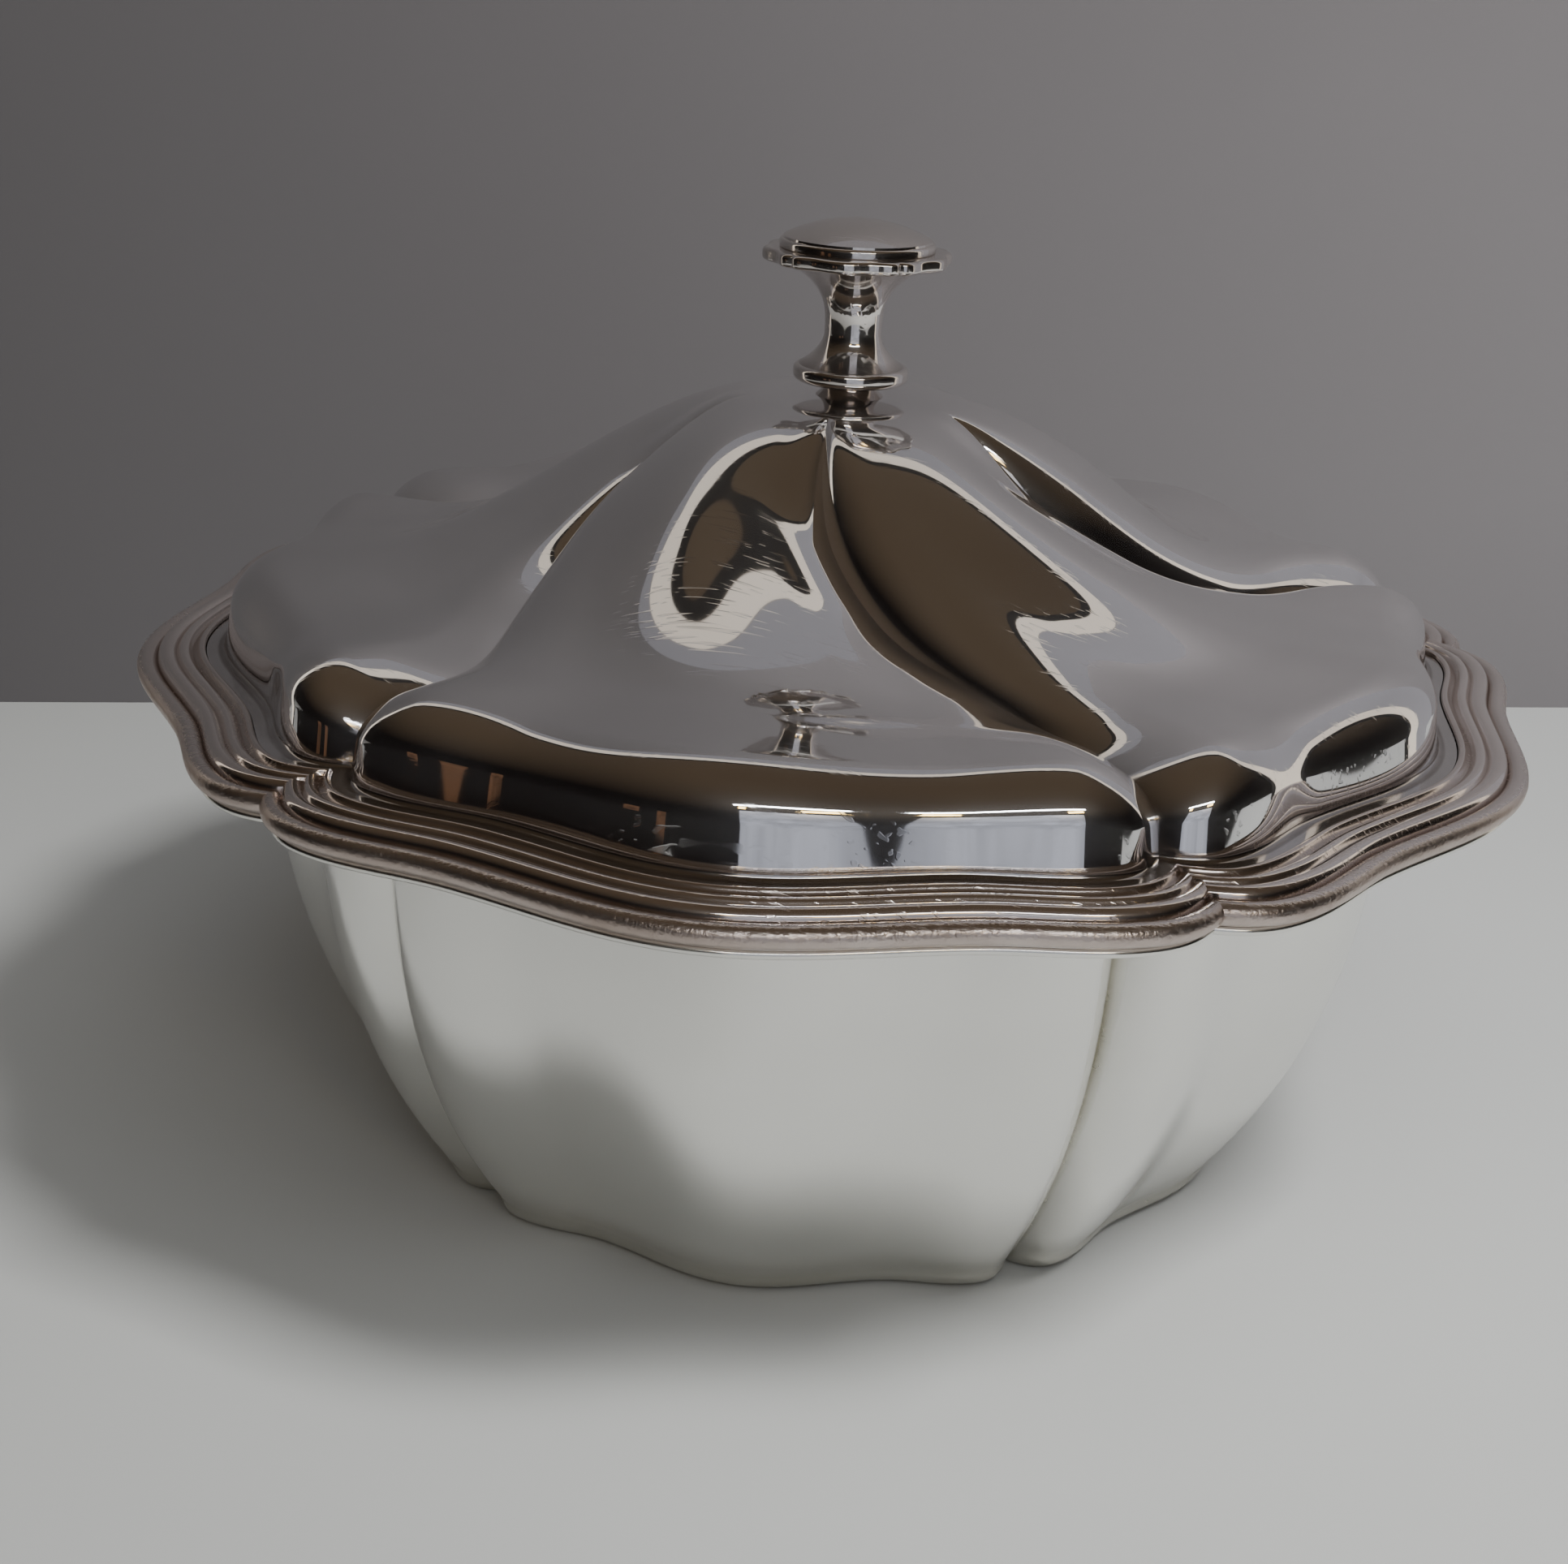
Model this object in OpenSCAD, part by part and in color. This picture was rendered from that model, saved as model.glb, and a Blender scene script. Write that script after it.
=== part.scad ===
// Covered sugar bowl in silver: a raised five-sided bowl with a flat flange, and a
// domed lid with a moulded border and a turned finial. The lid lifts straight off.
// Axis +Z is up. The origin is on the bowl's axis, in the plane it stands on.
// The middle of one side faces -Y. All sizes are in millimetres.

/* [Outline] */

// mean radius of the moulded edge
rim_r = 70; // [55:0.5:90]
// rise of the wide middle bump of a side, part of the mean radius
mid_rise = 0.015; // [0:0.001:0.05]
// depth of the soft hollow beside the middle bump, part of the mean radius
hollow_fall = 0.0195; // [0:0.001:0.05]
// rise of the narrow bump beside a cusp, part of the mean radius
side_rise = 0.0146; // [0:0.001:0.05]
// fall of the cusp between two sides, part of the mean radius
cusp_fall = 0.013; // [0:0.001:0.05]

/* [Bowl] */

// height of the edge plane above the table
rim_h = 49; // [40:0.5:65]
// mean outside radius of the bowl just under the flange
mouth_r = 57.4; // [45:0.1:62]
// mean outside radius of the bowl where it meets the table
foot_r = 44.9; // [35:0.1:52]
// thickness of the bowl sheet
bowl_t = 1; // [0.6:0.1:2]
// rounding of the bottom corner
foot_round = 2.2; // [0.5:0.1:5]
// thickness of the bowl's flange
flange_t = 0.8; // [0.5:0.1:2]
// how far the bowl's flange stops short of the moulded edge
flange_inset = 0.9; // [0:0.1:3]

/* [Lid] */

// thickness of the lid sheet
lid_t = 0.9; // [0.6:0.1:2]
// width of the edge from its outside to the lid's wall
edge_w = 8.05; // [5:0.05:12]
// height of the flat of the lid's flange above the edge plane
lid_flat_h = 1.3; // [0.5:0.1:3]
// height of the shelf of the lid above its flange, extended to the axis
shelf_h = 10.3; // [6:0.1:24]
// fall of the shelf from the axis to the wall
shelf_fall = 1.9; // [0:0.1:8]
// height of the dome above the shelf
dome_h = 16; // [4:0.1:25]
// deepest part of the creases between two sides
crease_d = 5.1; // [0:0.1:7]
// turn of the creases from the wall to the finial, in degrees
crease_turn = 38; // [0:1:50]
// gap between the lid and the bowl's flange
lid_gap = 0.3; // [0.1:0.05:1]

/* [Bezel] */

// clearance of the bezel inside the bowl's mouth
bezel_gap = 0.5; // [0.3:0.05:1.5]
// depth of the bezel below the lid
bezel_h = 4; // [2:0.1:8]
// thickness of the bezel strip
bezel_t = 0.8; // [0.5:0.1:1.5]

/* [Finial] */

// radius of the lobed plate
plate_r = 9.4; // [6:0.1:14]
// radius of the button on top of the plate
button_r = 7.7; // [4:0.1:12]
// radius of the stem at its waist
waist_r = 2.85; // [1.8:0.05:5]
// radius of the collar under the stem
collar_r = 5.8; // [4:0.1:9]
// height of the stem from the collar to the plate
stem_h = 10.1; // [5:0.1:18]
// radius of the screwed stud through the lid
stud_r = 1.4; // [1:0.05:2]

/* [Hidden] */

sides = 5;
side_a = 360 / sides;
// direction of the middle of the first side
first_a = -90;
// angle between two drawn stations round the outline
step_a = 3;
stations = 360 / step_a;
$fn = 96;

// parts of half a side, from its middle at 0 to its cusp at 1
hollow_at = 0.5;
side_at = 0.86;

edge_lobes = [mid_rise, -hollow_fall, side_rise, -cusp_fall];
bowl_lobes = [0.02, -0.026, 0.022, -0.045];

// place across a side, from -1 at one cusp over 0 at the middle to 1 at the next cusp
function across_side(a) = ((a - first_a + side_a / 2 + 720) % side_a - side_a / 2) / (side_a / 2);

// distance from the middle of a side, 0 at the middle and 1 at the cusp
function part_of_side(a) = abs(across_side(a));

// smooth change from a to b as x runs from 0 to 1
function ease(a, b, x) = a + (b - a) * (0.5 - 0.5 * cos(180 * max(0, min(1, x))));

// rise or fall of an outline at t, for lobes [middle, hollow, side bump, cusp]
function lobe(t, l) =
    t < hollow_at ? ease(l[0], l[1], t / hollow_at)
    : t < side_at ? ease(l[1], l[2], (t - hollow_at) / (side_at - hollow_at))
    : l[2] + (l[3] - l[2]) * pow((t - side_at) / (1 - side_at), 2);

// how close t is to the cusp, from 0 at the side bump to 1
function cusp_part(t) = t < side_at ? 0 : pow((t - side_at) / (1 - side_at), 2);

// radius of a line that runs w inside the moulded edge, deeper at the mitred cusps
function edge_r(a, w) =
    rim_r * (1 + lobe(part_of_side(a), edge_lobes)) - w * (1 + 0.1 * cusp_part(part_of_side(a)));

// weight of a crease beside the wall: 0 on the middle bump, 1 in the cusp
function wall_crease(t) =
    t < hollow_at ? ease(0, 0.3, t / hollow_at)
    : t < 0.8 ? ease(0.3, 0.08, (t - hollow_at) / 0.3)
    : 0.08 + 0.92 * pow((t - 0.8) / 0.2, 1.6);

// weight of a crease on the dome: one rounded panel a side, gentle at one end and steep at the other
function panel_crease(c) = pow(abs(c), c > 0 ? 1.7 : 4.2);

// weight of a crease at part u of the wall radius and place c across a side
function crease_part(u, c) =
    panel_crease(c) + (wall_crease(abs(c)) - panel_crease(c)) * ease(0, 1, (u - 0.6) / 0.3);

// a point at angle a, radius r and height z
function at(a, r, z) = [r * cos(a), r * sin(a), z];

// --- bowl ---

// outside radius of the bowl at angle a, k running from 0 at the table to 1 at the mouth
function bowl_r(a, k) =
    (mouth_r - (mouth_r - foot_r) * pow(1 - k, 2.5)) * (1 + lobe(part_of_side(a), bowl_lobes));

border_drop = 0.9;
bowl_top = rim_h - border_drop - lid_gap - flange_t;
foot_steps = 4;
wall_steps = 9;

// the bowl's profile from the middle of the underside out, up and back inside: [k, inset, height]
bowl_out = [for (i = [0 : foot_steps])
    [0, foot_round * (1 - sin(90 * i / foot_steps)), foot_round * (1 - cos(90 * i / foot_steps))]];
bowl_up = [for (i = [1 : wall_steps])
    [i / wall_steps, 0, foot_round + (bowl_top - foot_round) * i / wall_steps]];
bowl_down = [for (i = [wall_steps : -1 : 1])
    [i / wall_steps, bowl_t, foot_round + (bowl_top - foot_round) * i / wall_steps]];
bowl_in = [for (i = [0 : 2])
    [0, bowl_t + foot_round * (1 - cos(45 * i)), bowl_t + foot_round * (1 - sin(45 * i))]];
bowl_profile = concat(bowl_out, bowl_up, bowl_down, bowl_in);

// --- lid ---

lid_base = rim_h + lid_flat_h;
shoulder_at = 0.897;
wall_top = [0.980, 0.52];
wall_foot = [0.989, 0.07];
lid_steps = 12;
shoulder_steps = 5;

// height of the lid's dome and shelf over its flange at part u of the wall radius and place c across a side
function dome_z(u) = dome_h * ease(1, 0, (u - 0.13) / 0.64);
function shelf_z(u) = shelf_h - shelf_fall * u * u;
function crease_z(u, c) =
    crease_d * ease(0, 1, (u - 0.17) / 0.2) * ease(1, 0.67, (u - 0.476) / 0.19) * crease_part(u, c);
function lid_z(u, fall, c) = (shelf_z(u) + dome_z(u) - crease_z(u, c)) * fall;

// turn of the creases at part u of the wall radius
function lid_turn(u) = -crease_turn * ease(0, 1, (0.85 - u) / 0.7);

// a point of the lid on the line from angle a, for p = [part of the wall radius, fall of the shoulder]
function lid_point(a, p, thick) =
    let (z = lid_z(p[0], p[1], across_side(a)))
    at(a + lid_turn(p[0]), p[0] * (edge_r(a, edge_w) - thick), lid_base + z - thick);

// the lid's outside from the stud hole to the foot of the wall, as [part of the wall radius, fall]
lid_flat = [for (i = [0 : lid_steps]) [0.03 + (shoulder_at - 0.03) * i / lid_steps, 1]];
lid_shoulder = [for (i = [1 : shoulder_steps])
    let (a = 90 - 84 * i / shoulder_steps)
    [shoulder_at + (wall_top[0] - shoulder_at) * cos(a) / cos(6),
     1 - (1 - wall_top[1]) * (1 - sin(a)) / (1 - sin(6))]];
lid_line = concat(lid_flat, lid_shoulder, [wall_foot, [1, 0]]);

dome_top = lid_base + shelf_h + dome_h;

// --- moulded border ---

// a row of points on a round bead: centre w and h, radius r, from angle a to angle b in n steps
function bead(w, h, r, a, b, n) =
    [for (i = [0 : n]) [w - r * cos(a + (b - a) * i / n), h + r * sin(a + (b - a) * i / n)]];

// section of the border from its outside in: [distance inside the edge, height over the edge plane]
border_section = concat(
    [[0.55, -border_drop]],
    bead(1.05, 0, 1.05, -30, 150, 7),
    bead(3.0, 0.75, 0.95, 20, 155, 6),
    bead(4.65, 1.15, 0.6, 25, 155, 4),
    [[5.5, 1.15], [5.85, 1.35]],
    bead(6.35, 1.45, 0.35, 20, 165, 3),
    [[6.75, -border_drop]]);

// --- finial heights ---

foot_h = 1.5;
collar_h = 1.6;
plate_t = 1.3;
collar_z = dome_top + foot_h;
stem_z = collar_z + collar_h;
plate_z = stem_z + stem_h;
button_z = plate_z + plate_t;
button_h = 2.9;

// --- general shapes ---

// solid between rings of n points each; each ring joins the next, and the last joins the first
module ring_solid(rings, n) {
    m = len(rings);
    polyhedron(
        points = [for (ring = rings) for (p = ring) p],
        faces = [for (i = [0 : m - 1]) for (j = [0 : n - 1])
            let (k = (i + 1) % m, l = (j + 1) % n)
            for (f = [[i * n + j, k * n + j, k * n + l], [i * n + j, k * n + l, i * n + l]]) f]);
}

// solid made of rings of n points, closed with a point at each end
module cup_solid(rings, n, first, last) {
    m = len(rings);
    polyhedron(
        points = concat([for (ring = rings) for (p = ring) p], [first, last]),
        faces = concat(
            [for (i = [0 : m - 2]) for (j = [0 : n - 1])
                let (l = (j + 1) % n)
                for (f = [[i * n + j, (i + 1) * n + j, (i + 1) * n + l],
                          [i * n + j, (i + 1) * n + l, i * n + l]]) f],
            [for (j = [0 : n - 1]) [m * n, j, (j + 1) % n]],
            [for (j = [0 : n - 1]) [m * n + 1, (m - 1) * n + (j + 1) % n, (m - 1) * n + j]]));
}

// solid swept between stations, each a closed section of n points, with a flat end at each end
module bar_solid(rows, n) {
    m = len(rows);
    polyhedron(
        points = [for (row = rows) for (p = row) p],
        faces = concat(
            [for (i = [0 : m - 2]) for (j = [0 : n - 1])
                let (l = (j + 1) % n)
                for (f = [[i * n + j, i * n + l, (i + 1) * n + l],
                          [i * n + j, (i + 1) * n + l, (i + 1) * n + j]]) f],
            [[for (j = [n - 1 : -1 : 0]) j]],
            [[for (j = [0 : n - 1]) (m - 1) * n + j]]));
}

// outline of the moulded edge moved in by w
module edge_outline(w) {
    polygon([for (i = [0 : 2 * stations - 1])
        let (a = i * step_a / 2, r = edge_r(a, w)) [r * cos(a), r * sin(a)]]);
}

// outline of the bowl's mouth moved in by an inset
module mouth_outline(inset) {
    polygon([for (i = [0 : 2 * stations - 1])
        let (a = i * step_a / 2, r = bowl_r(a, 1) - inset) [r * cos(a), r * sin(a)]]);
}

// --- bowl pieces ---

// raised bowl with a flat underside and a thin wall
module bowl_body() {
    color([0.80, 0.80, 0.78])
        cup_solid(
            [for (p = bowl_profile) [for (j = [0 : stations - 1])
                let (a = j * step_a) at(a, bowl_r(a, p[0]) - p[1], p[2])]],
            stations,
            [0, 0, 0],
            [0, 0, bowl_t]);
}

// flat flange on the edge of the bowl's wall, which carries the lid
module bowl_flange() {
    color([0.76, 0.76, 0.75])
        translate([0, 0, bowl_top])
            linear_extrude(height = flange_t)
                difference() {
                    edge_outline(flange_inset);
                    mouth_outline(bowl_t);
                }
}

// --- lid pieces ---

// raised lid: dome, shelf, shoulder, wall and flat flange in one sheet
module lid_body() {
    out_rings = [for (p = lid_line) [for (j = [0 : stations - 1])
        lid_point(j * step_a, p, 0)]];
    flange_rings = [for (q = [[6.8, 0], [6.8, -lid_t]]) [for (j = [0 : stations - 1])
        let (a = j * step_a) at(a, edge_r(a, q[0]), lid_base + q[1])]];
    in_rings = [for (i = [len(lid_line) - 1 : -1 : 0]) [for (j = [0 : stations - 1])
        lid_point(j * step_a, lid_line[i], lid_t)]];
    color([0.82, 0.82, 0.83])
        ring_solid(concat(out_rings, flange_rings, in_rings), stations);
}

// strip under the lid that drops into the bowl's mouth and keeps the lid in place
module lid_bezel() {
    color([0.70, 0.70, 0.69]) {
        translate([0, 0, rim_h - 0.6])
            linear_extrude(height = lid_flat_h - lid_t + 0.6)
                difference() {
                    edge_outline(edge_w - 0.6);
                    mouth_outline(bowl_t + bezel_gap + bezel_t);
                }
        translate([0, 0, rim_h - 0.6 - bezel_h])
            linear_extrude(height = bezel_h)
                difference() {
                    mouth_outline(bowl_t + bezel_gap);
                    mouth_outline(bowl_t + bezel_gap + bezel_t);
                }
    }
}

// one length of the moulded border, mitred at the cusps at both ends
module border(number) {
    start = first_a - side_a / 2 + number * side_a;
    steps = side_a / step_a;
    color([0.74, 0.72, 0.70])
        bar_solid(
            [for (i = [0 : steps]) [for (q = border_section)
                let (a = start + i * step_a) at(a, edge_r(a, q[0]), rim_h + q[1])]],
            len(border_section));
}

module border_1() {
    border(0);
}

module border_2() {
    border(1);
}

module border_3() {
    border(2);
}

module border_4() {
    border(3);
}

module border_5() {
    border(4);
}

// --- finial pieces ---

// short flared neck that stands on the dome
module finial_foot() {
    color([0.78, 0.77, 0.75])
        translate([0, 0, dome_top])
            rotate_extrude()
                polygon([
                    [stud_r + 0.05, 0], [3.4, 0], [2.9, 0.35],
                    [2.55, 0.8], [2.5, foot_h], [stud_r + 0.05, foot_h]]);
}

// thin disc with a rounded edge
module finial_collar() {
    color([0.79, 0.78, 0.76])
        translate([0, 0, collar_z])
            difference() {
                union() {
                    cylinder(r = collar_r - 0.5, h = collar_h);
                    translate([0, 0, collar_h / 2])
                        rotate_extrude()
                            translate([collar_r - 0.6, 0])
                                circle(r = 0.6);
                }
                translate([0, 0, -1])
                    cylinder(r = stud_r + 0.05, h = collar_h + 2);
            }
}

// stem radius at part k of its height: a foot, a waist and a wide flare
function stem_r(k) =
    waist_r + 2.4 * pow(max(0, 1 - k / 0.32), 2)
    + (button_r - 0.4 - waist_r) * pow(max(0, (k - 0.35) / 0.65), 3);

// spool-shaped stem that flares out under the plate
module finial_stem() {
    color([0.79, 0.78, 0.76])
        translate([0, 0, stem_z])
            difference() {
                rotate_extrude()
                    polygon(concat(
                        [[0, 0]],
                        [for (i = [0 : 16]) [stem_r(i / 16), stem_h * i / 16]],
                        [[0, stem_h]]));
                translate([0, 0, -1])
                    cylinder(r = stud_r + 0.05, h = 5);
            }
}

// plate with five lobes that repeats the outline of the edge
module finial_plate() {
    color([0.78, 0.77, 0.75])
        translate([0, 0, plate_z])
            linear_extrude(height = plate_t)
                polygon([for (j = [0 : stations - 1])
                    let (a = j * step_a, l = lobe(part_of_side(a), edge_lobes))
                    let (r = plate_r * (1 + 1.6 * (l - 0.015)))
                    [r * cos(a), r * sin(a)]]);
}

// button: a low drum with a domed top
module finial_button() {
    drum_h = 0.9;
    cap_h = button_h - drum_h;
    ball_r = (button_r * button_r + cap_h * cap_h) / (2 * cap_h);
    color([0.82, 0.81, 0.79])
        translate([0, 0, button_z]) {
            cylinder(r = button_r, h = drum_h);
            intersection() {
                translate([0, 0, button_h - ball_r])
                    sphere(r = ball_r);
                translate([0, 0, drum_h / 2])
                    cylinder(r = button_r, h = button_h);
            }
        }
}

// screwed stud that holds the finial, from inside the stem down through the lid
module finial_stud() {
    color([0.62, 0.58, 0.45])
        translate([0, 0, dome_top - 6])
            cylinder(r = stud_r, h = 6 + foot_h + collar_h + 3.6);
}

// washer under the dome
module finial_washer() {
    color([0.65, 0.60, 0.46])
        translate([0, 0, dome_top - lid_t - 0.9])
            difference() {
                cylinder(r = 4.2, h = 0.6);
                translate([0, 0, -1])
                    cylinder(r = stud_r + 0.15, h = 3);
            }
}

// six-sided nut under the washer
module finial_nut() {
    color([0.68, 0.62, 0.46])
        translate([0, 0, dome_top - lid_t - 3.3])
            difference() {
                linear_extrude(height = 2.4)
                    circle(r = 3.2, $fn = 6);
                translate([0, 0, -1])
                    cylinder(r = stud_r, h = 5);
            }
}

bowl_body();
bowl_flange();
lid_body();
lid_bezel();
border_1();
border_2();
border_3();
border_4();
border_5();
finial_foot();
finial_collar();
finial_stem();
finial_plate();
finial_button();
finial_stud();
finial_washer();
finial_nut();
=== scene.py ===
"""Looks for a covered sugar bowl in silver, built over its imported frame.

The bowl and its lid share one five-sided outline. Each side has a wide middle bump, a soft hollow and
a narrow bump that ends in a sharp cusp. Every surface is a grid of points worked out from that outline
and a profile, in metres, with +Z up and the origin on the axis where the bowl stands.
"""

import logging
import math
from dataclasses import dataclass, field
from enum import Enum

import bpy
import numpy as np
from mathutils import Matrix, Vector


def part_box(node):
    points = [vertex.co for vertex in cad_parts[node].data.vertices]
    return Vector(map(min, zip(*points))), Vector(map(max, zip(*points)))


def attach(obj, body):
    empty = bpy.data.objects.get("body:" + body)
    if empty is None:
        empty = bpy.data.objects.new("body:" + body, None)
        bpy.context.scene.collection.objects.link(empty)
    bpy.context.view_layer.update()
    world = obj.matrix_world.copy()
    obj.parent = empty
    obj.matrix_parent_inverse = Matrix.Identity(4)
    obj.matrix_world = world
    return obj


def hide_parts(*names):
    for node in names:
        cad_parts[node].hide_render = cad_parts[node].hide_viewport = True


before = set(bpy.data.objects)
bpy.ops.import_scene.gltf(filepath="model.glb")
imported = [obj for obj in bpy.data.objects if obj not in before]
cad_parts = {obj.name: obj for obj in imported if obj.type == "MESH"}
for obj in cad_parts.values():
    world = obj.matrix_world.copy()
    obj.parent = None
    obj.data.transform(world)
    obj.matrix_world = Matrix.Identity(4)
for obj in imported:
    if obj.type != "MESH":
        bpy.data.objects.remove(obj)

# Short names for types.
Array, Triple = np.ndarray, tuple[float, float, float]
Piece, Socket = bpy.types.Object, bpy.types.NodeSocket

LOG = logging.getLogger("sugar_bowl")
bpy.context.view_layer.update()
MM = 0.001
SIDES = 5
FIRST_ANGLE = -math.pi / 2
SIDE_ANGLE = 2 * math.pi / SIDES
COLUMNS = 480
# Thickness of the lid's sheet, and depth of the border's underside below the edge plane.
LID_SHEET = 0.9 * MM
# Radius at which a turned section stops, before the pole that closes it.
PIN = 0.2 * MM
# Waves a metre of the noise patterns in the metal.
WORN_WAVES, PATCH_WAVES, RIPPLE_WAVES, CLOUD_WAVES, GRAIN_WAVES = 35.0, 28.0, 45.0, 90.0, 2600.0
# Heights in metres of a full scratch, ripple and grain.
SCRATCH_RELIEF, RIPPLE_RELIEF, GRAIN_RELIEF = 0.00002, 0.0004, 0.00012
VEIL_ROUGHNESS = 0.42


class Body(Enum):
    """The rigid bodies of the frame."""

    BOWL = "bowl"
    LID = "lid"


class Slot(Enum):
    """The record's material slots."""

    BOWL = "bowl_silver"
    LID = "lid_silver"
    BORDER = "border_silver"
    FINIAL = "finial_silver"
    FIXING = "fixing_brass"


# --- shared shapes ---


def ease(a: float, b: float, x: Array) -> Array:
    """Smooth change from a to b as x runs from 0 to 1, along half a cosine wave."""
    return a + (b - a) * (0.5 - 0.5 * np.cos(np.pi * np.clip(x, 0.0, 1.0)))


def bead_arc(w: float, h: float, r: float, start: float, end: float, count: int) -> Array:
    """Points on a round bead's section.

    Args:
        w: distance of the bead's centre inside the edge, in mm.
        h: height of the centre over the edge plane, in mm.
        r: radius, in mm.
        start: first angle in degrees, 0 pointing out and 90 up.
        end: last angle in degrees.
        count: number of points.

    Returns:
        An array of (inset, height) rows in mm.
    """
    a = np.radians(np.linspace(start, end, count))
    return np.column_stack([w - r * np.cos(a), h + r * np.sin(a)])


def along(points: Array, step: float) -> Array:
    """Adds points to a section so that no two neighbours are further apart than step.

    Args:
        points: (n, 2) section.
        step: longest distance left between two neighbours.

    Returns:
        The section with straight runs filled in.
    """
    rows = [points[:1]]
    for a, b in zip(points[:-1], points[1:]):
        count = max(1, int(math.ceil(np.linalg.norm(b - a) / step)))
        k = (np.arange(count) + 1)[:, None] / count
        rows.append(a + (b - a) * k)
    return np.vstack(rows)


@dataclass(frozen=True)
class Outline:
    """The five-sided outline that the edge, the walls and the finial's plate share."""

    radius: float
    rise: float = 0.015
    hollow: float = -0.0195
    side: float = 0.0146
    cusp: float = -0.013
    hollow_at: float = 0.5
    side_at: float = 0.86

    def across(self, angle: Array) -> Array:
        """Place across a side, from -1 at one cusp over 0 at the middle to 1 at the next cusp."""
        turned = np.mod(angle - FIRST_ANGLE + SIDE_ANGLE / 2, SIDE_ANGLE) - SIDE_ANGLE / 2
        return turned / (SIDE_ANGLE / 2)

    def part(self, angle: Array) -> Array:
        """Distance from the middle of a side, 0 at the middle and 1 at the cusp."""
        return np.abs(self.across(angle))

    def lobe(self, part: Array) -> Array:
        """Rise or fall of the outline: half waves between bump, hollow and bump, then a steep cusp.

        Args:
            part: distance from the middle of a side, 0 to 1.

        Returns:
            Shares of the mean radius.
        """
        wide = ease(self.rise, self.hollow, part / self.hollow_at)
        narrow = ease(self.hollow, self.side, (part - self.hollow_at) / (self.side_at - self.hollow_at))
        last = self.side + (self.cusp - self.side) * self.pinch(part)
        return np.where(part < self.hollow_at, wide, np.where(part < self.side_at, narrow, last))

    def pinch(self, part: Array) -> Array:
        """How close a point is to the cusp: 0 up to the narrow bump, then rising to 1."""
        return np.clip((part - self.side_at) / (1 - self.side_at), 0.0, 1.0) ** 2

    def at(self, angle: Array, inset: Array) -> Array:
        """Radius of a line that runs an inset inside the edge, deeper at the mitred cusps.

        Args:
            angle: directions in radians.
            inset: distance inside the edge, in metres.

        Returns:
            Radii in metres.
        """
        part = self.part(angle)
        return self.radius * (1 + self.lobe(part)) - inset * (1 + 0.1 * self.pinch(part))


@dataclass
class Patch:
    """A grid of points that becomes one mesh, with a float attribute for each named array."""

    name: str
    points: Array
    wrap_rows: bool = False
    wrap_columns: bool = True
    first_pole: bool = False
    last_pole: bool = False
    flip: bool = False
    marks: dict[str, Array] = field(default_factory=dict)

    def faces(self) -> list[tuple[int, ...]]:
        """Quads between neighbouring rows and columns, and triangles to the poles."""
        rows, columns = self.points.shape[:2]
        i = np.arange(rows if self.wrap_rows else rows - 1)[:, None]
        j = np.arange(columns if self.wrap_columns else columns - 1)[None, :]
        up, right = (i + 1) % rows, (j + 1) % columns
        low, high = i * columns, up * columns
        quads = np.stack([low + j, low + right, high + right, high + j], -1)
        made = [tuple(q) for q in quads.reshape(-1, 4).tolist()]
        pole = rows * columns
        ring = np.arange(columns)
        after = (ring + 1) % columns
        if self.first_pole:
            made += [(pole, b, a) for a, b in zip(ring.tolist(), after.tolist())]
            pole += 1
        if self.last_pole:
            start = (rows - 1) * columns
            made += [(pole, start + a, start + b) for a, b in zip(ring.tolist(), after.tolist())]
        if not self.wrap_columns and self.wrap_rows:
            made.append(tuple(range(0, rows * columns, columns)))
            made.append(tuple(range(rows * columns - 1, -1, -columns)))
        return [f[::-1] for f in made] if self.flip else made

    def build(self, sharp: float = 50.0) -> Piece:
        """Makes the mesh object.

        Args:
            sharp: edges that turn by more than this many degrees are left crisp.

        Returns:
            The new object, at the origin, linked to the scene.
        """
        points = self.points.reshape(-1, 3)
        marks = {k: np.broadcast_to(v, self.points.shape[:2]).reshape(-1) for k, v in self.marks.items()}
        for wanted, row in ((self.first_pole, 0), (self.last_pole, -1)):
            if wanted:
                points = np.vstack([points, self.points[row].mean(axis=0)])
                marks = {k: np.append(v, v.reshape(-1)[row]) for k, v in marks.items()}
        mesh = bpy.data.meshes.new(self.name)
        mesh.from_pydata(points.tolist(), [], self.faces())
        for key, values in marks.items():
            layer = mesh.attributes.new(key, "FLOAT", "POINT")
            layer.data.foreach_set("value", np.ascontiguousarray(values, dtype=np.float32))
        mesh.polygons.foreach_set("use_smooth", np.ones(len(mesh.polygons), dtype=bool))
        mesh.update()
        mesh.set_sharp_from_angle(angle=math.radians(sharp))
        made = bpy.data.objects.new(self.name, mesh)
        bpy.context.scene.collection.objects.link(made)
        return made


def ring(radius: Array, angle: Array, height: Array) -> Array:
    """Points at radii, angles and heights, as an array with a last axis of x, y, z."""
    radius, angle, height = np.broadcast_arrays(radius, angle, height)
    return np.stack([radius * np.cos(angle), radius * np.sin(angle), height], -1)


def columns(count: int = COLUMNS) -> Array:
    """Directions round the axis, in radians, so that every cusp falls on one of them."""
    return FIRST_ANGLE + 2 * np.pi * np.arange(count) / count


# --- finishes ---


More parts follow.
